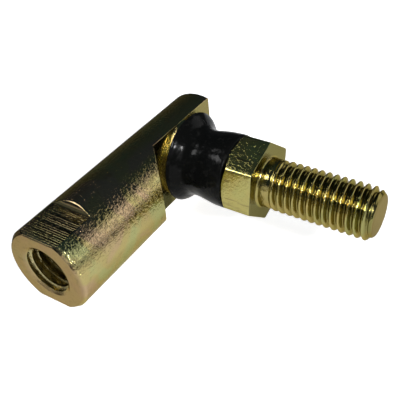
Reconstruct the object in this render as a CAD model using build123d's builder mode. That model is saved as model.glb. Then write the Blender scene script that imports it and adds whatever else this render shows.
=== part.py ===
"""Studded rod end bearing: round-bar housing, captive ball stud at a right angle, rubber boot.

Frame: origin at the ball centre, the bar runs along Y with its threaded end towards -Y,
the stud points along +X, the wrench flats on the bar face +Z and -Z.
"""

import os
from math import cos, radians, sqrt, tan

from build123d import *

os.makedirs("parts", exist_ok=True)

# round bar
bar_dia = 20.0
bar_mouth_y = -46.0
bar_closed_y = 12.3
mouth_chamfer_length = 1.0
mouth_chamfer_depth = 0.7
closed_chamfer = 0.3

# wrench flats at the threaded end
bar_across_flats = 17.0
flat_floor_length = 10.3
flat_top_length = 11.2

# small rounds on the bar's edges
flat_edge_round = 0.25
seat_edge_round = 0.15

# M12 x 1.75 threads, one size for the bar and the stud
pitch = 1.75
flank_slope = tan(radians(30))
female_minor_dia = 10.2
female_groove_count = 11
female_thread_depth = 0.5413 * pitch
female_gap_share = 0.75
drill_depth = 25.0
drill_tip_height = 2.9
mouth_countersink_dia = 12.4
male_major_dia = 11.85
male_thread_depth = 0.6134 * pitch
male_gap_share = 0.875
male_groove_count = 13
groove_overrun = 0.1

# milled seat with a ramp up to the full bar and a round boss left standing
seat_x = 2.7
ramp_foot_y = -10.7
ramp_slope = 1.05
boss_dia = 19.2
boss_top_x = 4.2

# socket, bored from the stud side
bore_dia = 15.0
bore_shoulder_x = -3.4
pocket_dia = 10.0
pocket_shoulder_x = -5.9
pocket_floor_x = -7.9
counterbore_dia = 16.4
counterbore_x = 3.0

# ball stud
ball_dia = 12.7
ball_flat_x = -6.15
neck_dia = 7.8
neck_end_x = 10.0
collar_dia = 13.0
collar_start_x = 13.8
hex_across_flats = 17.0
hex_start_x = 18.2
hex_end_x = 25.7
hex_turn = 19.7
hex_chamfer_dia = 16.6
hex_chamfer_slope = 0.73
shank_fillet = 0.4
stud_thread_start_x = 28.6
stud_tip_x = 52.0
tip_chamfer_length = 1.5
tip_chamfer_depth = 1.25

# socket internals
lower_seat_bottom_x = -7.0
lower_seat_top_x = -0.2
upper_seat_bottom_x = 0.3
spring_outer_r = 4.7
spring_inner_r = 2.6
spring_thickness = 0.45
retaining_ring_thickness = 0.57
retaining_ring_inner_dia = 11.7

# fits
seat_clearance = 0.05
ball_clearance = 0.03
axial_gap = 0.03

# two places closer than this are the same place
same_place = 0.01

# how far a cutter runs past the solid it cuts
cutter_overrun = 1.0

# boot, as axial places with the radius of its outside or inside there
boot_floor_x = boss_top_x + 0.05
boot_top_x = hex_start_x - 0.1
boot_floor_dia = 20.0
lip_widest_x = 4.95
lip_dia = 22.0
lip_shoulder_x = 5.3
lip_shoulder_dia = 21.4
lip_start_slope = (0.3, 1)
lip_end_slope = (0.2, -1)
crease_x = 5.5
crease_dia = 20.4
flank_x = 6.3
flank_dia = 19.4
under_waist_x = 7.6
under_waist_dia = 17.1
waist_x = 9.4
waist_dia = 16.2
over_waist_x = 11.4
over_waist_dia = 16.6
swell_x = 15.4
swell_dia = 17.76
boot_edge_round = 0.55
cavity_start_x = 5.2
cavity_waist_x = 9.6
cavity_waist_dia = 13.2
cavity_end_x = 14.5
spigot_wall = 0.95
boot_ring_height = 1.35
boot_ring_thickness = 0.57
neck_wire_dia = 0.8
neck_wire_x = 16.2
wire_gap = 0.03
wire_groove_clearance = 0.05

bar_r = bar_dia / 2
bore_r = bore_dia / 2
pocket_r = pocket_dia / 2
counterbore_r = counterbore_dia / 2
ball_r = ball_dia / 2
cup_r = ball_r + ball_clearance
neck_r = neck_dia / 2
collar_r = collar_dia / 2
male_r = male_major_dia / 2
female_r = female_minor_dia / 2


def save(builder, label):
    """Name the finished piece and write it to its own file."""
    builder.part.label = label
    export_step(builder.part, f"parts/{label}.step")


def cup_height(radius):
    """Axial distance from the ball centre at which the cup has this radius."""
    return sqrt(cup_r**2 - radius**2)


# ---------------------------------------------------------------- thread cutters
male_root_r = male_r - male_thread_depth
male_root_half = male_gap_share * pitch / 2 - male_thread_depth * flank_slope
male_mouth_half = male_gap_share * pitch / 2 + groove_overrun * flank_slope

# the stud's thread is a row of rings of the thread profile, one pitch apart
with BuildPart() as male_grooves:
    with BuildSketch(Plane.XY):
        for turn in range(male_groove_count):
            groove_x = stud_thread_start_x + (turn + 0.5) * pitch
            with BuildLine():
                Polyline(
                    (groove_x - male_mouth_half, male_r + groove_overrun),
                    (groove_x - male_root_half, male_root_r),
                    (groove_x + male_root_half, male_root_r),
                    (groove_x + male_mouth_half, male_r + groove_overrun),
                    close=True,
                )
            make_face()
    revolve(axis=Axis.X)

female_mouth_half = female_gap_share * pitch / 2 + groove_overrun * flank_slope
female_root_half = female_gap_share * pitch / 2 - female_thread_depth * flank_slope
female_root_r = female_r + female_thread_depth

# the bar's thread, made the same way round the bar's axis
with BuildPart() as female_grooves:
    with BuildSketch(Plane.XY):
        for turn in range(female_groove_count):
            groove_y = bar_mouth_y + (turn + 0.5) * pitch
            with BuildLine():
                Polyline(
                    (female_r - groove_overrun, groove_y - female_mouth_half),
                    (female_root_r, groove_y - female_root_half),
                    (female_root_r, groove_y + female_root_half),
                    (female_r - groove_overrun, groove_y + female_mouth_half),
                    close=True,
                )
            make_face()
    revolve(axis=Axis.Y)

# ---------------------------------------------------------------- housing
past_bar_r = bar_r + cutter_overrun
ramp_top_y = ramp_foot_y - ramp_slope * (past_bar_r - seat_x)
past_end_y = bar_closed_y + cutter_overrun

with BuildPart() as seat_cut:
    with BuildSketch(Plane.XY):
        with BuildLine():
            Polyline(
                (seat_x, ramp_foot_y),
                (past_bar_r, ramp_top_y),
                (past_bar_r, past_end_y),
                (seat_x, past_end_y),
                close=True,
            )
        make_face()
    extrude(amount=past_bar_r, both=True)
    with BuildSketch(Plane.YZ.offset(seat_x - cutter_overrun)):
        Circle(boss_dia / 2)
    extrude(amount=boss_top_x - seat_x + cutter_overrun, mode=Mode.SUBTRACT)

with BuildPart() as housing:
    with BuildSketch(Plane.XY):
        with BuildLine():
            Polyline(
                (0, bar_mouth_y),
                (bar_r - mouth_chamfer_depth, bar_mouth_y),
                (bar_r, bar_mouth_y + mouth_chamfer_length),
                (bar_r, bar_closed_y - closed_chamfer),
                (bar_r - closed_chamfer, bar_closed_y),
                (0, bar_closed_y),
                close=True,
            )
        make_face()
    revolve(axis=Axis.Y)
    # wrench flats, each ending in a sloped shoulder
    flat_z = bar_across_flats / 2
    past_mouth_y = bar_mouth_y - cutter_overrun
    shoulder_foot_y = bar_mouth_y + flat_floor_length
    shoulder_slope = (flat_top_length - flat_floor_length) / (bar_r - flat_z)
    shoulder_top_y = shoulder_foot_y + shoulder_slope * (past_bar_r - flat_z)
    for side in (1, -1):
        with BuildSketch(Plane.YZ):
            with BuildLine():
                Polyline(
                    (past_mouth_y, side * flat_z),
                    (shoulder_foot_y, side * flat_z),
                    (shoulder_top_y, side * past_bar_r),
                    (past_mouth_y, side * past_bar_r),
                    close=True,
                )
            make_face()
        extrude(amount=past_bar_r, both=True, mode=Mode.SUBTRACT)
    # rounds on the edges of the mouth and the flats
    flat_edges = [
        edge
        for edge in housing.edges()
        if (edge @ 0.5).Y < bar_mouth_y + flat_top_length
        and abs((edge @ 0.5).Y - shoulder_foot_y) > same_place
    ]
    fillet(flat_edges, radius=flat_edge_round)
    # stud seat, boss and ramp
    add(seat_cut.part, mode=Mode.SUBTRACT)
    ramp_edges = [
        edge
        for edge in housing.edges().filter_by(GeomType.ELLIPSE)
        if seat_x < (edge @ 0.5).X < bar_r and (edge @ 0.5).Y > ramp_top_y
    ]
    seat_edges = [
        edge
        for edge in housing.edges().filter_by(GeomType.LINE)
        if abs((edge @ 0.5).X - seat_x) < same_place and (edge @ 0.5).Y > ramp_foot_y + same_place
    ]
    boss_edges = [
        edge
        for edge in housing.edges().filter_by(GeomType.CIRCLE)
        if abs((edge @ 0.5).X - boss_top_x) < same_place
    ]
    fillet(ramp_edges + seat_edges + boss_edges, radius=seat_edge_round)
    # stepped socket bore
    with BuildSketch(Plane.XY):
        with BuildLine():
            Polyline(
                (pocket_floor_x, 0),
                (pocket_floor_x, pocket_r),
                (pocket_shoulder_x, pocket_r),
                (bore_shoulder_x, bore_r),
                (counterbore_x, bore_r),
                (counterbore_x, counterbore_r),
                (boss_top_x + cutter_overrun, counterbore_r),
                (boss_top_x + cutter_overrun, 0),
                close=True,
            )
        make_face()
    revolve(axis=Axis.X, mode=Mode.SUBTRACT)
    # tapped hole
    mouth_r = mouth_countersink_dia / 2
    countersink_slope = tan(radians(60))
    with BuildSketch(Plane.XY):
        with BuildLine():
            Polyline(
                (0, past_mouth_y),
                (mouth_r + cutter_overrun * countersink_slope, past_mouth_y),
                (female_r, bar_mouth_y + (mouth_r - female_r) / countersink_slope),
                (female_r, bar_mouth_y + drill_depth),
                (0, bar_mouth_y + drill_depth + drill_tip_height),
                close=True,
            )
        make_face()
    revolve(axis=Axis.Y, mode=Mode.SUBTRACT)
    add(female_grooves.part, mode=Mode.SUBTRACT)

# ---------------------------------------------------------------- socket internals
upper_seat_top_x = counterbore_x - axial_gap
liner_r = bore_r - seat_clearance
liner_foot_r = pocket_r - seat_clearance

with BuildPart() as lower_seat:
    with BuildSketch(Plane.XY):
        with BuildLine():
            Polyline(
                (-cup_r, 0),
                (lower_seat_bottom_x, 0),
                (lower_seat_bottom_x, liner_foot_r),
                (pocket_shoulder_x + seat_clearance, liner_foot_r),
                (bore_shoulder_x + seat_clearance, liner_r),
                (lower_seat_top_x, liner_r),
                (lower_seat_top_x, cup_height(-lower_seat_top_x)),
            )
            ThreePointArc(
                (lower_seat_top_x, cup_height(-lower_seat_top_x)),
                (-cup_r * cos(radians(45)), cup_r * cos(radians(45))),
                (-cup_r, 0),
            )
        make_face()
    revolve(axis=Axis.X)

upper_mid_x = (upper_seat_bottom_x + upper_seat_top_x) / 2

with BuildPart() as upper_seat:
    with BuildSketch(Plane.XY):
        with BuildLine():
            Polyline(
                (upper_seat_bottom_x, cup_height(upper_seat_bottom_x)),
                (upper_seat_bottom_x, liner_r),
                (upper_seat_top_x, liner_r),
                (upper_seat_top_x, cup_height(upper_seat_top_x)),
            )
            ThreePointArc(
                (upper_seat_top_x, cup_height(upper_seat_top_x)),
                (upper_mid_x, cup_height(upper_mid_x)),
                (upper_seat_bottom_x, cup_height(upper_seat_bottom_x)),
            )
        make_face()
    revolve(axis=Axis.X)

# disc spring between the pocket floor and the lower seat
spring_low_x = pocket_floor_x + axial_gap
spring_high_x = lower_seat_bottom_x - axial_gap

with BuildPart() as preload_spring:
    with BuildSketch(Plane.XY):
        with BuildLine():
            Polyline(
                (spring_low_x, spring_outer_r),
                (spring_low_x + spring_thickness, spring_outer_r),
                (spring_high_x, spring_inner_r),
                (spring_high_x - spring_thickness, spring_inner_r),
                close=True,
            )
        make_face()
    revolve(axis=Axis.X)

ring_bottom_x = counterbore_x + axial_gap
ring_top_x = ring_bottom_x + retaining_ring_thickness

with BuildPart() as retaining_ring:
    with BuildSketch(Plane.YZ.offset(ring_bottom_x)):
        Circle(counterbore_r - seat_clearance)
        Circle(retaining_ring_inner_dia / 2, mode=Mode.SUBTRACT)
    extrude(amount=retaining_ring_thickness)

# ---------------------------------------------------------------- ball stud
neck_root_x = sqrt(ball_r**2 - neck_r**2)
ball_flat_r = sqrt(ball_r**2 - ball_flat_x**2)
hex_r = hex_across_flats / 2 / cos(radians(30))

with BuildPart() as ball_stud:
    with BuildSketch(Plane.XY):
        with BuildLine():
            ThreePointArc((ball_flat_x, ball_flat_r), (0, ball_r), (neck_root_x, neck_r))
            Polyline(
                (neck_root_x, neck_r),
                (neck_end_x, neck_r),
                (collar_start_x, collar_r),
                (hex_start_x, collar_r),
                (hex_start_x, 0),
                (ball_flat_x, 0),
                (ball_flat_x, ball_flat_r),
            )
        make_face()
    revolve(axis=Axis.X)
    with BuildSketch(Plane.YZ.offset(hex_start_x)):
        RegularPolygon(hex_r, 6, rotation=hex_turn)
    extrude(amount=hex_end_x - hex_start_x)
    # turned chamfer on the boot side of the hexagon
    chamfer_r = hex_chamfer_dia / 2
    past_hex_r = hex_r + cutter_overrun
    with BuildSketch(Plane.XY):
        with BuildLine():
            Polyline(
                (hex_start_x, chamfer_r),
                (hex_start_x + hex_chamfer_slope * (past_hex_r - chamfer_r), past_hex_r),
                (hex_start_x, past_hex_r),
                close=True,
            )
        make_face()
    revolve(axis=Axis.X, mode=Mode.SUBTRACT)
    # shank with its fillet at the hexagon and its chamfered tip
    with BuildSketch(Plane.XY):
        with BuildLine():
            Polyline(
                (hex_start_x, 0),
                (hex_start_x, male_r + shank_fillet),
                (hex_end_x, male_r + shank_fillet),
                (hex_end_x + shank_fillet, male_r),
                (stud_tip_x - tip_chamfer_length, male_r),
                (stud_tip_x, male_r - tip_chamfer_depth),
                (stud_tip_x, 0),
                close=True,
            )
        make_face()
    revolve(axis=Axis.X)
    add(male_grooves.part, mode=Mode.SUBTRACT)

# ---------------------------------------------------------------- boot and its rings
spigot_x = ring_top_x + axial_gap
spigot_outer_r = counterbore_r - seat_clearance
spigot_inner_r = spigot_outer_r - spigot_wall
neck_bore_r = collar_r + seat_clearance
wire_r = neck_wire_dia / 2
wire_centre_r = neck_bore_r + wire_r + wire_gap
wire_groove_r = wire_centre_r + wire_r + wire_groove_clearance
wire_groove_half = wire_r + wire_groove_clearance
boot_edge_r = swell_dia / 2
boot_edge_x = boot_top_x - boot_edge_round
edge_middle = boot_edge_round * sqrt(0.5)

with BuildPart() as dust_boot:
    with BuildSketch(Plane.XY):
        with BuildLine():
            Polyline(
                (spigot_x, spigot_inner_r),
                (spigot_x, spigot_outer_r),
                (boot_floor_x, spigot_outer_r),
                (boot_floor_x, boot_floor_dia / 2),
            )
            Spline(
                (boot_floor_x, boot_floor_dia / 2),
                (lip_widest_x, lip_dia / 2),
                (lip_shoulder_x, lip_shoulder_dia / 2),
                tangents=(lip_start_slope, lip_end_slope),
            )
            Line((lip_shoulder_x, lip_shoulder_dia / 2), (crease_x, crease_dia / 2))
            Spline(
                (crease_x, crease_dia / 2),
                (flank_x, flank_dia / 2),
                (under_waist_x, under_waist_dia / 2),
                (waist_x, waist_dia / 2),
                (over_waist_x, over_waist_dia / 2),
                (swell_x, boot_edge_r),
                (boot_edge_x, boot_edge_r),
            )
            ThreePointArc(
                (boot_edge_x, boot_edge_r),
                (boot_edge_x + edge_middle, boot_edge_r - boot_edge_round + edge_middle),
                (boot_top_x, boot_edge_r - boot_edge_round),
            )
            Polyline(
                (boot_top_x, boot_edge_r - boot_edge_round),
                (boot_top_x, neck_bore_r),
                (neck_wire_x + wire_groove_half, neck_bore_r),
                (neck_wire_x + wire_groove_half, wire_groove_r),
                (neck_wire_x - wire_groove_half, wire_groove_r),
                (neck_wire_x - wire_groove_half, neck_bore_r),
                (cavity_end_x, neck_bore_r),
            )
            Spline(
                (cavity_end_x, neck_bore_r),
                (cavity_waist_x, cavity_waist_dia / 2),
                (cavity_start_x, spigot_inner_r),
            )
            Line((cavity_start_x, spigot_inner_r), (spigot_x, spigot_inner_r))
        make_face()
    revolve(axis=Axis.X)

# steel ring that presses the boot's spigot into the counterbore
with BuildPart() as boot_base_ring:
    with BuildSketch(Plane.YZ.offset(spigot_x)):
        Circle(spigot_inner_r - axial_gap)
        Circle(spigot_inner_r - axial_gap - boot_ring_thickness, mode=Mode.SUBTRACT)
    extrude(amount=boot_ring_height)

# wire ring in the groove inside the boot's neck
with BuildPart() as boot_neck_ring:
    with BuildSketch(Plane.XY):
        with Locations((neck_wire_x, wire_centre_r)):
            Circle(wire_r)
    revolve(axis=Axis.X)

save(housing, "housing")
save(lower_seat, "lower_seat")
save(upper_seat, "upper_seat")
save(preload_spring, "preload_spring")
save(retaining_ring, "retaining_ring")
save(ball_stud, "ball_stud")
save(dust_boot, "dust_boot")
save(boot_base_ring, "boot_base_ring")
save(boot_neck_ring, "boot_neck_ring")
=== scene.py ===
import math

import bpy
from mathutils import Matrix, Vector


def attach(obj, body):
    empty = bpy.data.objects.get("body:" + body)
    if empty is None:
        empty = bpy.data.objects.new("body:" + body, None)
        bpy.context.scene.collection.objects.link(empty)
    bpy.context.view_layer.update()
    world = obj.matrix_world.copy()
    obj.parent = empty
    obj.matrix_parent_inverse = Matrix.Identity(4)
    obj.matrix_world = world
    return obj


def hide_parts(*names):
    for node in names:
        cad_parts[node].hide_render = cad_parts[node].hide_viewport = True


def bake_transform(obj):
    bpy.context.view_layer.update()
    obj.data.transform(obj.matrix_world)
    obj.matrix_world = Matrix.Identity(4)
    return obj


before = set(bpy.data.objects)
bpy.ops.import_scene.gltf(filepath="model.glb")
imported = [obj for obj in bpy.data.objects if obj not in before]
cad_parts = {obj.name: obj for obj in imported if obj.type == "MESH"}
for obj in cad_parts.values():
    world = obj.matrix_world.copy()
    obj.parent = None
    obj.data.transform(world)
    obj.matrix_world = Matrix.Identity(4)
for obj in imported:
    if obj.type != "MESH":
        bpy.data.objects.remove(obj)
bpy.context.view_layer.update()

MM = 0.001
scene = bpy.context.scene
scene.view_settings.view_transform = "Standard"

# ------------------------------------------------------------------ the stud's sizes
# In millimetres. The ball's centre is the origin, the stud points along X and the bar lies along Y.
BALL_R = 6.35
BALL_FLAT_X = -6.15
BALL_STEPS = 28
NECK_R = 3.9
NECK_END_X = 10.0
NECK_FILLET = 0.8
NECK_FILLET_STEPS = 4
COLLAR_R = 6.5
COLLAR_START_X = 13.8
HEX_START_X = 18.2
HEX_END_X = 25.7
HEX_APOTHEM = 8.5
HEX_TURN = math.radians(19.7)
HEX_ANGLE = math.radians(60.0)
HEX_CORNER_BLEND = 0.55
HEX_CHAMFER_R = 8.3
HEX_CHAMFER_SLOPE = 0.73
HEX_SIDE_ROWS = 12
HEX_END_ROWS = 5
# rings of points on the hexagon's inner face and on its chamfer, as shares of their width
HEX_FACE_SHARES = (0.0, 0.35, 0.7)
HEX_CHAMFER_SHARES = (0.33, 0.66)
# how far the rounding reaches back from the hexagon's three edges
RIM_EDGE = 0.12
CHAMFER_EDGE = 0.16
END_EDGE = 0.26
# the most of a side that one rounded corner may take
CORNER_SHARE = 0.45
# keeps neighbouring rings of points apart
RING_GAP = 0.02
SHANK_R = 5.925
SHANK_RELIEF = 0.22
SHANK_FILLET = 0.5
SHANK_FILLET_STEPS = 5
SHANK_FIRST_ROW = 0.3
SHANK_ROW_STEP = 0.4
PITCH = 1.75
THREAD_START_X = 28.4
THREAD_DEPTH = 0.6134 * PITCH
THREAD_ROWS_PER_PITCH = 13
THREAD_FLANK = math.radians(30.0)
CREST_HALF_WIDTH = 0.0625 * PITCH
CREST_ROUNDING = 0.22
ROOT_ROUNDING = 0.35
# the thread fades in between these places, in pitches from its start
RUN_IN_FROM = -0.3
RUN_IN_TO = 1.1
TIP_X = 52.0
TIP_CHAMFER_LENGTH = 1.5
TIP_CHAMFER_DEPTH = 1.25
TIP_CHAMFER_ROUNDING = 0.18
TIP_THREAD_MARGIN = 0.16
# the tip's rounded edge: how far back from the tip and in from the cone each ring is
TIP_EDGE = ((0.12, 0.0), (0.03, 0.12), (0.0, 0.30))
TIP_FACE_SHARES = (0.8, 0.6, 0.4, 0.2)
# degrees from a corner of the hexagon to the middle of the face beside it
COLUMN_OFFSETS = (0.0, 0.8, 1.7, 2.9, 4.6, 7.5, 11.5, 16.0, 20.5, 25.0, 30.0)

# ------------------------------------------------------------------ the boot's sizes
# In millimetres, as pairs of place along X and radius.
WAIST_X = 9.4
CUT_X = 8.4
BOOT_COLUMNS = 144
BOOT_OUTSIDE = (
    (4.27, 8.2), (4.26, 9.4), (4.27, 9.95), (4.34, 10.42), (4.50, 10.76), (4.66, 10.88),
    (4.80, 10.88), (4.90, 10.80), (4.97, 10.72), (5.08, 10.68), (5.24, 10.60), (5.46, 10.41),
    (5.75, 10.13), (6.05, 9.83), (6.35, 9.53), (6.65, 9.22), (7.0, 8.90), (7.4, 8.61),
    (7.9, 8.36), (CUT_X, 8.22), (8.9, 8.13), (WAIST_X, 8.10), (10.0, 8.13), (10.7, 8.20),
    (11.5, 8.32), (12.4, 8.47), (13.3, 8.61), (14.2, 8.73), (15.0, 8.81), (15.8, 8.86),
    (16.5, 8.88), (17.1, 8.88), (17.45, 8.86), (17.7, 8.79), (17.9, 8.66), (18.04, 8.48),
    (18.09, 8.25), (18.1, 7.7), (18.1, 7.1), (18.08, 6.62),
)
BOOT_INSIDE = (
    (18.0, 6.56), (17.4, 6.55), (16.70, 6.55), (16.66, 6.60), (16.65, 7.38), (16.60, 7.43),
    (15.80, 7.43), (15.75, 7.38), (15.74, 6.60), (15.70, 6.55), (15.0, 6.55), (14.5, 6.56),
    (13.7, 6.64), (13.1, 6.95), (12.5, 7.36), (11.8, 7.62), (11.0, 7.66), (10.2, 7.58),
    (WAIST_X, 7.50), (CUT_X, 7.50), (7.0, 7.55), (6.0, 7.45), (5.2, 7.2), (4.4, 7.2),
    (3.7, 7.2), (3.64, 7.26), (3.64, 8.09), (3.70, 8.15), (4.0, 8.15), (4.22, 8.16),
)
# the lip sits a little off centre, and its shift fades out towards the waist and the spigot
LIP_SHIFT_Y = 0.5
LIP_SHIFT_Z = 0.1
LIP_GRIP_R = (8.3, 9.4)
LIP_GRIP_END_X = 7.0
LIP_START_X = 4.8
# where the rubber is slack it ripples by this much, in waves of so many turns round the boot, so
# many radians a millimetre along it, and a phase
RIPPLE = 0.05
RIPPLE_WAVES = ((3, 0.9, 0.0), (5, -1.3, 1.0), (2, 2.1, 0.0))
SLACK_FROM_X = (5.6, 7.0)
SLACK_TO_X = (15.0, 17.0)

# ------------------------------------------------------------------ where finishes, painted shade and painted highlights lie
# In millimetres. A pair is where a mask is 0 and where it is full. For a BAND it is where the
# mask is full, and its EDGE is how far the mask takes to fade.
FLAT_Z = 8.4
FLATS_END_Y = -34.5
UNDER_SKIN_R = (9.95, 9.8)
END_FACE_Y = (-45.2, -45.9)
BORE_R = (7.0, 6.3)
BORE_MOUTH_Y = (-45.6, -44.9)
SHOULDER_Y = -19.0
SEAT_X = 2.6
BOSS_CORNER_Y = (-5.0, -8.0)
BOSS_CORNER_R = (9.62, 9.9)
# the band of the painted highlight round the boss
BOSS_WALL_BAND_R = (9.5, 9.62)
BOSS_WALL_BAND_EDGE = 0.03
BOSS_WALL_X = (2.75, 2.95)
HEX_END_BAND_X = (25.68, 25.74)
HEX_END_BAND_EDGE = 0.03
HEX_BAND_X = (18.3, 25.68)
HEX_BAND_EDGE = 0.05
THREAD_ROOT_R = (5.75, 5.0)
THREAD_FROM_X = 27.5
THREAD_TO_X = 51.9
TIP_FACE_X = (51.9, 51.98)
MILLING_PITCH = 0.55
TURNING_PITCH = 0.30
BAR_MARK_DEPTH = 0.05
STUD_MARK_DEPTH = 0.010
BAR_GRAIN_DEPTH = 0.034
STUD_GRAIN_DEPTH = 0.012
STEEL_GRAIN_DEPTH = 0.02
POLYMER_GRAIN_DEPTH = 0.03

# ------------------------------------------------------------------ gloss
# A pair is the range of the roughness and its least.
ZINC_ROUGHNESS = (0.16, 0.07)
RUBBER_ROUGHNESS = (0.14, 0.08)
STEEL_ROUGHNESS = (0.2, 0.22)
POLYMER_ROUGHNESS = (0.2, 0.4)
RUBBER_SPECULAR = 0.07
PAPER_ROUGHNESS = 0.9
PAPER_SPECULAR = 0.1
FINE_GRAIN_SHARE = 0.5
WORN_SMOOTH_SHARE = 0.8

# ------------------------------------------------------------------ colours
GOLD = (0.53, 0.44, 0.185)
GREEN_GOLD = (0.49, 0.49, 0.215)
PINK_GOLD = (0.55, 0.40, 0.23)
PALE_GOLD = (0.40, 0.345, 0.125)
DEEP_GOLD = (0.42, 0.34, 0.12)
OLIVE_GOLD = (0.37, 0.35, 0.13)
BROWN_GOLD = (0.27, 0.20, 0.085)
FACE_GOLD = (0.35, 0.24, 0.125)
# painted light: a lighter gold inside the threaded hole
BORE_LIGHT = (0.60, 0.53, 0.27)
SEAT_GOLD = (0.30, 0.275, 0.105)
END_GOLD = (0.23, 0.22, 0.105)
TIP_GOLD = (0.25, 0.20, 0.10)
# painted shade in the thread roots
ROOT_SHADE = (0.13, 0.11, 0.025)
# a painted highlight: the bright gold band round the boss
WALL_HIGHLIGHT = (0.80, 0.61, 0.26)
MILLED_GOLD = (0.15, 0.125, 0.065)
STAIN = (0.17, 0.13, 0.07)
# painted shade for the seat's corner and the milled grooves
CREVICE_SHADE = (0.06, 0.065, 0.035)
SPECK = (0.15, 0.12, 0.065)
HEX_LIFT = (1.2, 1.3, 1.3)
GRAZING_TINT = (0.70, 0.62, 0.42, 1.0)
RUBBER_BLACK = (0.0045, 0.0048, 0.0045)
RUBBER_DUSTY = (0.014, 0.014, 0.013)
STEEL_DARK = (0.42, 0.42, 0.41)
STEEL_LIGHT = (0.55, 0.54, 0.52)
POLYMER_DARK = (0.62, 0.60, 0.54)
POLYMER_LIGHT = (0.70, 0.68, 0.62)
PAPER_DIM = (0.15, 0.15, 0.15)
PAPER_WHITE = (0.8, 0.8, 0.8)
SKY_SEEN = (0.98, 0.98, 0.98)


# ------------------------------------------------------------------ mesh helpers
def smoothstep(low, high, value):
    t = min(1.0, max(0.0, (value - low) / (high - low)))
    return t * t * (3.0 - 2.0 * t)


def smooth_min(a, b, width):
    h = max(width - abs(a - b), 0.0) / width
    return min(a, b) - h * h * width / 4.0


def smooth_max(a, b, width):
    return -smooth_min(-a, -b, width)


def turned(x, radius, angle):
    """A point at this radius from the stud's axis."""
    return (x, radius * math.cos(angle), radius * math.sin(angle))


def corner_arc(a, corner, b, steps):
    """Points on the curve from a to b that bends round the corner."""
    shares = [i / steps for i in range(steps + 1)]
    return [a * (1 - t) ** 2 + corner * 2 * t * (1 - t) + b * t * t for t in shares]


def rounded(outline, radius, steps):
    """The polyline with each inner corner replaced by a small curve."""
    made = [outline[0]]
    for before, corner, after in zip(outline, outline[1:], outline[2:]):
        corner = Vector(corner)
        back = Vector(before) - corner
        ahead = Vector(after) - corner
        cut = min(radius, CORNER_SHARE * back.length, CORNER_SHARE * ahead.length)
        start = corner + back.normalized() * cut
        end = corner + ahead.normalized() * cut
        made += [(p.x, p.y) for p in corner_arc(start, corner, end, steps)]
    made.append(outline[-1])
    return made


def grid_mesh(name, rows, poles=()):
    """Rings of points joined in quads. Two poles close the first and the last ring with fans."""
    points = [p for row in rows for p in row]
    across = len(rows[0])
    last_ring = len(points) - across
    steps = [(j, (j + 1) % across) for j in range(across)]
    faces = [
        (base + j, base + k, base + across + k, base + across + j)
        for base in range(0, last_ring, across)
        for j, k in steps
    ]
    if poles:
        first_pole = len(points)
        last_pole = first_pole + 1
        points += poles
        faces += [(first_pole, k, j) for j, k in steps]
        faces += [(last_pole, last_ring + j, last_ring + k) for j, k in steps]
    mesh = bpy.data.meshes.new(name)
    mesh.from_pydata([tuple(c * MM for c in p) for p in points], [], faces)
    mesh.update()
    mesh.shade_smooth()
    piece = bpy.data.objects.new(name, mesh)
    scene.collection.objects.link(piece)
    return piece


# ------------------------------------------------------------------ ball stud
def stud_columns():
    """Angles round the stud, closer together at the hexagon's corners."""
    offsets = list(COLUMN_OFFSETS) + [60.0 - h for h in reversed(COLUMN_OFFSETS[1:-1])]
    return [HEX_TURN + math.radians(60.0 * k + offset) for k in range(6) for offset in offsets]


def hex_radius(angle):
    """Distance from the axis to the hexagon's side at this angle, with its corners rounded."""
    from_corner = (angle - HEX_TURN) % HEX_ANGLE
    from_face = from_corner - HEX_ANGLE / 2.0
    near = HEX_APOTHEM / math.cos(from_face)
    other = HEX_APOTHEM / math.cos(HEX_ANGLE - abs(from_face))
    return smooth_min(near, other, HEX_CORNER_BLEND)


def thread_radius(x, angle):
    """Radius of the shank with its rolled thread, rounded at crest and root."""
    from_start = (x - THREAD_START_X) / PITCH
    turn = from_start - angle / (2.0 * math.pi)
    from_crest = abs(turn - math.floor(turn) - 0.5) * PITCH
    flank = (0.5 * PITCH - from_crest - CREST_HALF_WIDTH) / math.tan(THREAD_FLANK)
    depth = smooth_max(0.0, smooth_min(flank, THREAD_DEPTH, ROOT_ROUNDING), CREST_ROUNDING)
    fade = smoothstep(RUN_IN_FROM, RUN_IN_TO, from_start)
    shank = SHANK_R - SHANK_RELIEF * (1.0 - fade)
    along_chamfer = x - TIP_X + TIP_CHAMFER_LENGTH
    cone = SHANK_R - TIP_CHAMFER_DEPTH * along_chamfer / TIP_CHAMFER_LENGTH
    return smooth_min(shank - depth * fade, cone, TIP_CHAMFER_ROUNDING)


def ball_and_neck():
    """The outline from the ball's flat to the hexagon's inner face."""
    start = math.acos(BALL_FLAT_X / BALL_R)
    end = math.asin(NECK_R / BALL_R)
    angles = [start + (end - start) * i / BALL_STEPS for i in range(BALL_STEPS + 1)]
    ball = [(BALL_R * math.cos(a), BALL_R * math.sin(a)) for a in angles]
    neck = [
        ball[-1],
        (NECK_END_X, NECK_R),
        (COLLAR_START_X, COLLAR_R),
        (HEX_START_X - RING_GAP, COLLAR_R),
    ]
    return ball + rounded(neck, NECK_FILLET, NECK_FILLET_STEPS)[1:]


def hex_outline(angle):
    """The hexagon's sharp outline: collar, rim, top of the chamfer, end, and foot of the shank."""
    r = max(hex_radius(angle), HEX_CHAMFER_R + RING_GAP)
    return [
        Vector((HEX_START_X, COLLAR_R + RING_GAP)),
        Vector((HEX_START_X, HEX_CHAMFER_R)),
        Vector((HEX_START_X + HEX_CHAMFER_SLOPE * (r - HEX_CHAMFER_R), r)),
        Vector((HEX_END_X, r)),
        Vector((HEX_END_X, SHANK_R + SHANK_FILLET)),
    ]


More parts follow.
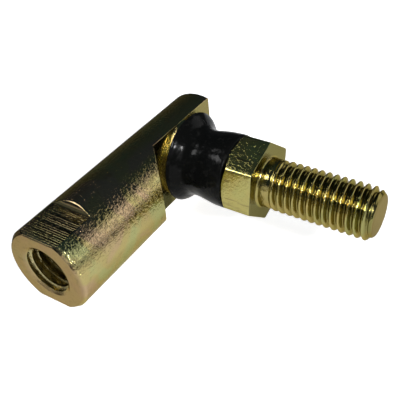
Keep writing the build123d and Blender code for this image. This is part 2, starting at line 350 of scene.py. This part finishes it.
def hex_rows(columns):
    """Rings over the hexagon: inner face, chamfer, sides and end face, with rounded edges."""
    per_column = []
    for angle in columns:
        collar, rim, top, end, foot = hex_outline(angle)
        to_collar = (collar - rim).normalized()
        to_top = (top - rim).normalized()
        to_end = (end - top).normalized()
        to_foot = (foot - end).normalized()
        most = CORNER_SHARE * (top - rim).length
        rim_cut = min(RIM_EDGE, most)
        top_cut = min(CHAMFER_EDGE, most)

        after_rim = rim + to_top * rim_cut
        before_top = top - to_top * top_cut
        after_top = top + to_end * top_cut
        before_end = end - to_end * END_EDGE
        after_end = end + to_foot * END_EDGE

        points = [collar.lerp(rim, t) for t in HEX_FACE_SHARES]
        points += corner_arc(rim + to_collar * rim_cut, rim, after_rim, steps=3)
        points += [after_rim.lerp(before_top, t) for t in HEX_CHAMFER_SHARES]
        points += corner_arc(before_top, top, after_top, steps=4)
        points += [after_top.lerp(before_end, i / HEX_SIDE_ROWS) for i in range(1, HEX_SIDE_ROWS)]
        points += corner_arc(before_end, end, after_end, steps=5)
        points += [after_end.lerp(foot, i / HEX_END_ROWS) for i in range(1, HEX_END_ROWS + 1)]
        per_column.append(points)
    return [[turned(p.x, p.y, a) for p, a in zip(ring, columns)] for ring in zip(*per_column)]


def fillet_rows(columns):
    """Rings of the hollow corner between the hexagon's end face and the shank."""
    rows = []
    for i in range(1, SHANK_FILLET_STEPS + 1):
        a = math.radians(90.0 * i / SHANK_FILLET_STEPS)
        x = HEX_END_X + SHANK_FILLET * (1 - math.cos(a))
        r = SHANK_R - SHANK_RELIEF + (SHANK_FILLET + SHANK_RELIEF) * (1 - math.sin(a))
        rows.append([turned(x, r, b) for b in columns])
    return rows


def shank_rows(columns, start, stop, step):
    rows = []
    x = start
    while x < stop:
        rows.append([turned(x, thread_radius(x, a), a) for a in columns])
        x += step
    return rows


def tip_rows(columns):
    """Rings of the tip's rounded edge and its flat face."""
    rim = [thread_radius(TIP_X - TIP_EDGE[0][0], a) for a in columns]
    rows = [
        [turned(TIP_X - back, r - inset, a) for r, a in zip(rim, columns)]
        for back, inset in TIP_EDGE
    ]
    face_inset = TIP_EDGE[-1][1]
    for share in TIP_FACE_SHARES:
        rows.append([turned(TIP_X, (r - face_inset) * share, a) for r, a in zip(rim, columns)])
    return rows


def build_stud():
    columns = stud_columns()
    plain_start = HEX_END_X + SHANK_FILLET + SHANK_FIRST_ROW
    run_in = THREAD_START_X + RUN_IN_FROM * PITCH
    rows = [[turned(x, r, a) for a in columns] for x, r in ball_and_neck()]
    rows += hex_rows(columns)
    rows += fillet_rows(columns)
    rows += shank_rows(columns, plain_start, run_in, SHANK_ROW_STEP)
    rows += shank_rows(columns, run_in, TIP_X - TIP_THREAD_MARGIN, PITCH / THREAD_ROWS_PER_PITCH)
    rows += tip_rows(columns)
    stud = grid_mesh("stud_with_rolled_thread", rows, [(BALL_FLAT_X, 0, 0), (TIP_X, 0, 0)])
    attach(stud, "stud")
    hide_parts("ball_stud")
    return stud


# ------------------------------------------------------------------ rubber boot
def boot_outer_point(x, r, angle):
    """A point of the boot's outside, with the lip's shift and calm, repeatable ripples."""
    grip = smoothstep(*LIP_GRIP_R, r) if x < LIP_GRIP_END_X else 1.0
    follow = grip * (1.0 - smoothstep(LIP_START_X, WAIST_X, x))
    slack = smoothstep(*SLACK_FROM_X, x) * (1.0 - smoothstep(*SLACK_TO_X, x))
    waves = [math.sin(turns * angle + along * x + phase) for turns, along, phase in RIPPLE_WAVES]
    ripple = RIPPLE * slack * sum(waves) / len(waves)
    y = r * math.cos(angle) + LIP_SHIFT_Y * follow + ripple * math.cos(angle)
    z = r * math.sin(angle) + LIP_SHIFT_Z * follow + ripple * math.sin(angle)
    return (x, y, z)


def build_boot():
    """The boot in two pieces that meet under its waist."""
    angles = [2.0 * math.pi * (j + 0.5) / BOOT_COLUMNS for j in range(BOOT_COLUMNS)]
    outside = [[boot_outer_point(x, r, a) for a in angles] for x, r in BOOT_OUTSIDE]
    inside = [[turned(x, r, a) for a in angles] for x, r in BOOT_INSIDE]
    cut_out = [x for x, _ in BOOT_OUTSIDE].index(CUT_X)
    cut_in = [x for x, _ in BOOT_INSIDE].index(CUT_X)
    lower = grid_mesh("boot_skirt", inside[cut_in:] + outside[: cut_out + 1])
    upper = grid_mesh("boot_collar", outside[cut_out:] + inside[: cut_in + 1])
    for half in (lower, upper):
        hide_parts("dust_boot")
    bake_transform(lower)
    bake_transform(upper)
    return lower, upper


# ------------------------------------------------------------------ node helpers
# places of the colour sockets on a Mix node
MIX_FACTOR, MIX_A, MIX_B = 0, 6, 7
MIX_RESULT = 2


class Nodes:
    """A small wrapper round a node tree. A value may be a number or another node's socket."""

    def __init__(self, tree):
        self.tree = tree
        tree.nodes.clear()

    def add(self, kind, **settings):
        node = self.tree.nodes.new(kind)
        for key, value in settings.items():
            setattr(node, key, value)
        return node

    def link(self, source, target):
        self.tree.links.new(source, target)

    def put(self, socket, value):
        if isinstance(value, bpy.types.NodeSocket):
            self.link(value, socket)
        else:
            socket.default_value = value

    def put_colour(self, socket, value):
        self.put(socket, value if isinstance(value, bpy.types.NodeSocket) else (*value, 1.0))

    def output(self, shader, kind="ShaderNodeOutputMaterial"):
        self.link(shader.outputs[0], self.add(kind).inputs["Surface"])

    def place(self):
        return self.add("ShaderNodeTexCoord").outputs["Object"]

    def is_camera_ray(self):
        return self.add("ShaderNodeLightPath").outputs["Is Camera Ray"]

    def split(self, vector):
        node = self.add("ShaderNodeSeparateXYZ")
        self.link(vector, node.inputs[0])
        return node.outputs

    def stretched(self, vector, scale):
        node = self.add("ShaderNodeMapping")
        self.put(node.inputs["Vector"], vector)
        node.inputs["Scale"].default_value = scale
        return node.outputs[0]

    def math(self, operation, a, b=0.0, c=None):
        node = self.add("ShaderNodeMath", operation=operation)
        self.put(node.inputs[0], a)
        self.put(node.inputs[1], b)
        if c is not None:
            self.put(node.inputs[2], c)
        return node.outputs[0]

    def times(self, value, *others):
        for other in others:
            value = self.math("MULTIPLY", value, other)
        return value

    def times_add(self, value, factor, addend):
        return self.math("MULTIPLY_ADD", value, factor, addend)

    def length(self, a, b):
        """How far (a, b) is from (0, 0)."""
        return self.math("SQRT", self.math("ADD", self.times(a, a), self.times(b, b)))

    def above(self, value, limit):
        """1 where the value is past the limit in millimetres."""
        return self.math("GREATER_THAN", value, limit * MM)

    def below(self, value, limit):
        """1 where the value is short of the limit in millimetres."""
        return self.math("LESS_THAN", value, limit * MM)

    def window(self, value, low, high):
        """0 at low, 1 at high, smooth between and flat beyond; low may be the larger."""
        node = self.add("ShaderNodeMapRange", interpolation_type="SMOOTHSTEP", clamp=True)
        self.put(node.inputs["Value"], value)
        node.inputs["From Min"].default_value = low
        node.inputs["From Max"].default_value = high
        return node.outputs["Result"]

    def fade(self, value, limits):
        """A window whose limits are in millimetres."""
        low, high = limits
        return self.window(value, low * MM, high * MM)

    def band(self, value, limits, edge):
        """1 between two limits in millimetres and 0 outside, with soft edges."""
        low, high = limits
        return self.times(
            self.window(value, low * MM - edge * MM, low * MM),
            self.window(value, high * MM + edge * MM, high * MM),
        )

    def noise(self, vector, scale, detail, roughness, distortion=0.0):
        """Noise with this many features in a metre."""
        node = self.add("ShaderNodeTexNoise")
        self.put(node.inputs["Vector"], vector)
        node.inputs["Scale"].default_value = scale
        node.inputs["Detail"].default_value = detail
        node.inputs["Roughness"].default_value = roughness
        node.inputs["Distortion"].default_value = distortion
        return node.outputs["Fac"]

    def ripples(self, value, pitch, wander, sway):
        """A sine along the value, one pitch in millimetres long, that wanders by sway."""
        phase = self.times(value, 2.0 * math.pi / (pitch * MM))
        return self.math("SINE", self.math("ADD", phase, self.times(wander, sway)))

    def ramp(self, value, *stops):
        node = self.add("ShaderNodeValToRGB")
        self.put(node.inputs[0], value)
        elements = node.color_ramp.elements
        while len(elements) < len(stops):
            elements.new(0.5)
        for element, (position, colour) in zip(elements, stops):
            element.position = position
            element.color = (*colour, 1.0)
        return node.outputs["Color"]

    def mix(self, factor, a, b, blend="MIX"):
        node = self.add("ShaderNodeMix", data_type="RGBA", blend_type=blend)
        self.put(node.inputs[MIX_FACTOR], factor)
        self.put_colour(node.inputs[MIX_A], a)
        self.put_colour(node.inputs[MIX_B], b)
        return node.outputs[MIX_RESULT]

    def tinted(self, tint, mask, colour, share):
        """The tint with this share of a colour over it where the mask is full."""
        return self.mix(self.times(mask, share), tint, colour)

    def bump(self, height, depth, strength=1.0, under=None):
        """A bump this many millimetres deep, over another one if there is one."""
        node = self.add("ShaderNodeBump")
        node.inputs["Strength"].default_value = strength
        node.inputs["Distance"].default_value = depth * MM
        self.put(node.inputs["Height"], height)
        if under is not None:
            self.link(under, node.inputs["Normal"])
        return node.outputs[0]


def material(name):
    made = bpy.data.materials.new(name)
    made.use_nodes = True
    return made, Nodes(made.node_tree)


# ------------------------------------------------------------------ finishes
def zinc(name, tones, grain_depth, marks_and_light):
    """Yellow passivated zinc on steel in three tones, with cloudy colour, specks and grain.

    The last argument, called with (n, place, tint), gives the tool cuts' height and depth, the tint
    they leave with painted shade and painted highlights added, and where the grain is worn smooth.
    """
    made, n = material(name)
    place = n.place()
    clouds = n.noise(place, scale=95.0, detail=2.0, roughness=0.5, distortion=1.0)
    first, middle, last = tones
    tint = n.ramp(clouds, (0.38, first), (0.48, middle), (0.54, middle), (0.64, last))
    blotch = n.noise(place, scale=480.0, detail=3.0, roughness=0.6)
    tint = n.tinted(tint, n.window(blotch, low=0.58, high=0.76), BROWN_GOLD, share=0.5)
    speck = n.noise(place, scale=3200.0, detail=3.0, roughness=0.65)
    tint = n.tinted(tint, n.window(speck, low=0.60, high=0.74), SPECK, share=0.6)
    height, depth, tint, smooth = marks_and_light(n, place, tint)

    coarse = n.noise(place, scale=1500.0, detail=3.0, roughness=0.6)
    fine = n.noise(place, scale=3400.0, detail=2.0, roughness=0.6)
    grain = n.times_add(fine, FINE_GRAIN_SHARE, n.window(coarse, low=0.42, high=0.66))
    grain = n.times(grain, n.times_add(smooth, -WORN_SMOOTH_SHARE, 1.0))
    shader = n.add("ShaderNodeBsdfPrincipled")
    n.put(shader.inputs["Base Color"], tint)
    shader.inputs["Metallic"].default_value = 1.0
    shader.inputs["Specular Tint"].default_value = GRAZING_TINT
    n.put(shader.inputs["Roughness"], n.times_add(blotch, *ZINC_ROUGHNESS))
    n.link(n.bump(height, depth, under=n.bump(grain, grain_depth)), shader.inputs["Normal"])
    n.output(shader)
    return made


def bar_marks_and_painted_light(n, place, tint):
    """Drawing lines along the bar, milled flats, a stained end face, painted shade in the milled
    grooves and the seat's corner, painted light in the threaded hole and a painted highlight
    round the boss.
    """
    x, y, z = n.split(place)
    from_axis = n.length(x, z)
    from_stud = n.length(y, z)
    under_skin = n.fade(from_axis, UNDER_SKIN_R)

    on_flat = n.times(n.above(n.math("ABSOLUTE", z), FLAT_Z), under_skin, n.below(y, FLATS_END_Y))
    across = n.stretched(place, (0.02, 1.0, 0.02))
    wander = n.noise(across, scale=900.0, detail=2.0, roughness=0.5)
    milled = n.times_add(n.ripples(y, MILLING_PITCH, wander, sway=4.0), 0.5, 0.5)
    along = n.stretched(place, (1.0, 0.04, 1.0))
    drawn = n.times(n.noise(along, scale=3000.0, detail=2.0, roughness=0.5), 0.6)
    drawn = n.times(drawn, n.math("SUBTRACT", 1.0, on_flat))
    height = n.times_add(milled, on_flat, drawn)

    end_face = n.fade(y, END_FACE_Y)
    stain = n.noise(place, scale=900.0, detail=4.0, roughness=0.7, distortion=0.6)
    face_tint = n.tinted(FACE_GOLD, n.window(stain, low=0.50, high=0.72), STAIN, share=0.6)
    tint = n.tinted(tint, end_face, face_tint, share=0.8)

    # Painted light: the threaded hole is painted a lighter gold, standing in for the light that
    # reaches inside it.
    lit_bore = n.times(n.fade(from_axis, BORE_R), n.below(y, SHOULDER_Y), n.fade(y, BORE_MOUTH_Y))
    tint = n.tinted(tint, lit_bore, BORE_LIGHT, share=0.85)

    seat = n.times(under_skin, n.above(x, SEAT_X), n.above(y, SHOULDER_Y))
    tint = n.tinted(tint, seat, SEAT_GOLD, share=0.8)
    # Painted shade: the seat is darkened in its corner beyond the boss, towards the open end.
    corner = n.times(n.fade(y, BOSS_CORNER_Y), n.fade(from_stud, BOSS_CORNER_R))
    tint = n.tinted(tint, n.times(seat, corner), CREVICE_SHADE, share=0.85)
    # A painted highlight: a narrow band of bright gold round the boss, where the seat meets it.
    wall_highlight = n.band(from_stud, BOSS_WALL_BAND_R, BOSS_WALL_BAND_EDGE)
    wall_highlight = n.times(wall_highlight, n.fade(x, BOSS_WALL_X))
    tint = n.tinted(tint, n.times(seat, wall_highlight), WALL_HIGHLIGHT, share=0.9)

    tint = n.tinted(tint, on_flat, MILLED_GOLD, share=0.8)
    # Painted shade in the milled grooves on the flats.
    lines = n.times(n.math("SUBTRACT", 1.0, milled), on_flat)
    tint = n.tinted(tint, lines, CREVICE_SHADE, share=0.8)
    return height, BAR_MARK_DEPTH, tint, n.math("MAXIMUM", end_face, on_flat)


def stud_marks_and_root_shade(n, place, tint):
    """Turned rings on the hexagon's end face and fainter elsewhere, rubs, and painted shade in the
    thread roots.
    """
    x, y, z = n.split(place)
    radius = n.length(y, z)

    on_end = n.band(x, HEX_END_BAND_X, HEX_END_BAND_EDGE)
    wander = n.noise(place, scale=300.0, detail=1.0, roughness=0.5)
    rings = n.ripples(radius, TURNING_PITCH, wander, sway=3.0)
    rings = n.times(rings, n.times_add(on_end, 0.9, 0.1))

    hexagon = n.band(x, HEX_BAND_X, HEX_BAND_EDGE)
    tint = n.mix(hexagon, tint, n.mix(1.0, tint, HEX_LIFT, "MULTIPLY"))
    along = n.stretched(place, (0.12, 1.0, 1.0))
    rubs = n.noise(along, scale=1300.0, detail=3.0, roughness=0.6)
    rubs = n.times(n.window(rubs, low=0.54, high=0.74), hexagon)
    tint = n.tinted(tint, rubs, STAIN, share=0.6)

    # Painted shade: the thread's roots are darkened.
    root = n.times(
        n.fade(radius, THREAD_ROOT_R), n.above(x, THREAD_FROM_X), n.below(x, THREAD_TO_X)
    )
    tint = n.tinted(tint, root, ROOT_SHADE, share=0.55)
    tint = n.tinted(tint, on_end, END_GOLD, share=0.9)
    tip = n.fade(x, TIP_FACE_X)
    tint = n.tinted(tint, tip, TIP_GOLD, share=0.9)
    return rings, STUD_MARK_DEPTH, tint, n.math("MAXIMUM", on_end, tip)


def rubber(name):
    """Shiny black rubber with shallow dents and a little dust."""
    made, n = material(name)
    place = n.place()
    grain = n.noise(place, scale=2200.0, detail=3.0, roughness=0.6)
    dents = n.noise(place, scale=300.0, detail=3.0, roughness=0.55, distortion=0.6)
    dust = n.noise(place, scale=700.0, detail=4.0, roughness=0.6)
    dusty = n.window(dust, low=0.5, high=0.8)
    shader = n.add("ShaderNodeBsdfPrincipled")
    n.put(shader.inputs["Base Color"], n.mix(dusty, RUBBER_BLACK, RUBBER_DUSTY))
    n.put(shader.inputs["Roughness"], n.times_add(grain, *RUBBER_ROUGHNESS))
    shader.inputs["Specular IOR Level"].default_value = RUBBER_SPECULAR
    dented = n.bump(dents, depth=0.30, strength=0.5)
    normal = n.bump(grain, depth=0.02, strength=0.25, under=dented)
    n.link(normal, shader.inputs["Normal"])
    n.output(shader)
    return made


def grained(name, scale, colours, metallic, roughness, depth):
    """A plain finish with fine grain, for the pieces inside."""
    made, n = material(name)
    grain = n.noise(n.place(), scale, detail=3.0, roughness=0.6)
    shader = n.add("ShaderNodeBsdfPrincipled")
    n.put(shader.inputs["Base Color"], n.mix(grain, *colours))
    shader.inputs["Metallic"].default_value = metallic
    n.put(shader.inputs["Roughness"], n.times_add(grain, *roughness))
    n.link(n.bump(grain, depth, strength=0.3), shader.inputs["Normal"])
    n.output(shader)
    return made


bar_tones = (GREEN_GOLD, GOLD, PINK_GOLD)
stud_tones = (OLIVE_GOLD, DEEP_GOLD, PALE_GOLD)
bar_finish = zinc("zinc_bar", bar_tones, BAR_GRAIN_DEPTH, bar_marks_and_painted_light)
stud_finish = zinc("zinc_stud", stud_tones, STUD_GRAIN_DEPTH, stud_marks_and_root_shade)
boot_finish = rubber("boot_rubber")
steel = grained(
    "bare_steel",
    scale=1800.0,
    colours=(STEEL_DARK, STEEL_LIGHT),
    metallic=1.0,
    roughness=STEEL_ROUGHNESS,
    depth=STEEL_GRAIN_DEPTH,
)
polymer = grained(
    "seat_polymer",
    scale=1400.0,
    colours=(POLYMER_DARK, POLYMER_LIGHT),
    metallic=0.0,
    roughness=POLYMER_ROUGHNESS,
    depth=POLYMER_GRAIN_DEPTH,
)
node_finish = {
    "housing": bar_finish,
    "ball_stud": stud_finish,
    "dust_boot": boot_finish,
    "lower_seat": polymer,
    "upper_seat": polymer,
    "preload_spring": steel,
    "retaining_ring": steel,
    "boot_base_ring": steel,
    "boot_neck_ring": steel,
}
for name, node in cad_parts.items():
    node.data.materials.clear()
    node.data.materials.append(node_finish[name])
    for polygon in node.data.polygons:
        polygon.material_index = 0

build_stud().data.materials.append(stud_finish)
for half in build_boot():
    half.data.materials.append(boot_finish)

# ------------------------------------------------------------------ floor
# The floor lies just under the lowest place that the swung stud reaches. It looks white to the
# camera, and in reflections it carries a painted shadow: dim beyond the bar, on the side away from
# the stud.
SWING = math.radians(15.0)
FLOOR_GAP = 0.3
FLOOR_R = 1.5
FLOOR_SIDES = 64
NEAR_SIDE_X = (-0.055, -0.028)
PAPER_GLOW_SEEN = 0.84
PAPER_GLOW_NEAR = 0.24
PAPER_GLOW_FAR = 0.02

floor_z = -(TIP_X * math.sin(SWING) + SHANK_R * math.cos(SWING) + FLOOR_GAP) * MM
turns = [2 * math.pi * i / FLOOR_SIDES for i in range(FLOOR_SIDES)]
rim = [(FLOOR_R * math.cos(t), FLOOR_R * math.sin(t), floor_z) for t in turns]
floor_mesh = bpy.data.meshes.new("floor")
floor_mesh.from_pydata(rim, [], [list(range(FLOOR_SIDES))])
floor = bpy.data.objects.new("floor", floor_mesh)
scene.collection.objects.link(floor)

paper, n = material("paper")
seen = n.is_camera_ray()
near_side = n.window(n.split(n.place())[0], *NEAR_SIDE_X)
shown = n.math("MAXIMUM", seen, near_side)
glow = n.times_add(near_side, PAPER_GLOW_NEAR, PAPER_GLOW_FAR)
glow = n.math("MAXIMUM", n.times(seen, PAPER_GLOW_SEEN), glow)
shader = n.add("ShaderNodeBsdfPrincipled")
n.put(shader.inputs["Base Color"], n.mix(shown, PAPER_DIM, PAPER_WHITE))
shader.inputs["Roughness"].default_value = PAPER_ROUGHNESS
shader.inputs["Specular IOR Level"].default_value = PAPER_SPECULAR
shader.inputs["Emission Color"].default_value = (1.0, 1.0, 1.0, 1.0)
n.put(shader.inputs["Emission Strength"], glow)
n.output(shader)
floor.data.materials.append(paper)

# ------------------------------------------------------------------ light
# The sky's brightness from the horizon, at 0.5, up to the zenith, as reflections see it.
SKY = (
    (0.50, (0.045, 0.045, 0.045)),
    (0.56, (0.050, 0.054, 0.060)),
    (0.70, (0.014, 0.022, 0.034)),
    (0.90, (0.020, 0.032, 0.048)),
    (1.00, (0.035, 0.052, 0.070)),
)
# name, direction from the part, distance in metres, width and height in metres, watts
SOFTBOXES = (
    ("key", (-0.468, -0.40, 0.76), 0.6, (0.22, 0.12), 1.0),
    ("crest", (-0.53, -0.02, 0.85), 0.6, (0.05, 0.12), 0.16),
    ("side", (0.70, -0.35, 0.54), 0.6, (0.05, 0.07), 2.3),
    ("back", (0.66, 0.66, 0.39), 0.8, (0.9, 0.30), 0.90),
    ("front", (-0.35, -0.90, 0.14), 0.8, (0.9, 0.26), 0.42),
    ("camera_side", (0.60, -0.62, 0.42), 0.8, (0.30, 0.30), 0.28),
)

world = bpy.data.worlds.new("studio")
scene.world = world
world.use_nodes = True
n = Nodes(world.node_tree)
direction = n.add("ShaderNodeTexCoord").outputs["Generated"]
elevation = n.times_add(n.split(direction)[2], 0.5, 0.5)
background = n.add("ShaderNodeBackground")
sky = n.mix(n.is_camera_ray(), n.ramp(elevation, *SKY), SKY_SEEN)
n.link(sky, background.inputs["Color"])
n.output(background, "ShaderNodeOutputWorld")

for name, towards, distance, (width, height), watts in SOFTBOXES:
    light = bpy.data.lights.new(name, "AREA")
    light.shape = "RECTANGLE"
    light.size = width
    light.size_y = height
    light.energy = watts
    softbox = bpy.data.objects.new(name, light)
    scene.collection.objects.link(softbox)
    way = Vector(towards).normalized()
    softbox.location = way * distance
    softbox.rotation_mode = "QUATERNION"
    softbox.rotation_quaternion = way.to_track_quat("Z", "Y")

# ------------------------------------------------------------------ camera
CAMERA_PLACE = (0.08348, -0.10278, 0.09100)
CAMERA_FORWARD = (-0.46804, 0.62235, -0.62739)
CAMERA_UP = (-0.28542, 0.56545, 0.77383)
CAMERA_LENS = 58.84
CAMERA_SENSOR = 36.0
CAMERA_SHIFT_X = -0.002
CAMERA_CLIP = (0.005, 20.0)

camera_data = bpy.data.cameras.new("camera")
camera_data.sensor_width = CAMERA_SENSOR
camera_data.lens = CAMERA_LENS
camera_data.shift_x = CAMERA_SHIFT_X
camera_data.clip_start, camera_data.clip_end = CAMERA_CLIP
camera = bpy.data.objects.new("camera", camera_data)
scene.collection.objects.link(camera)
scene.camera = camera
forward = Vector(CAMERA_FORWARD).normalized()
right = forward.cross(Vector(CAMERA_UP)).normalized()
up = right.cross(forward)
turn = Matrix((right, up, -forward)).transposed()
camera.matrix_world = Matrix.Translation(CAMERA_PLACE) @ turn.to_4x4()
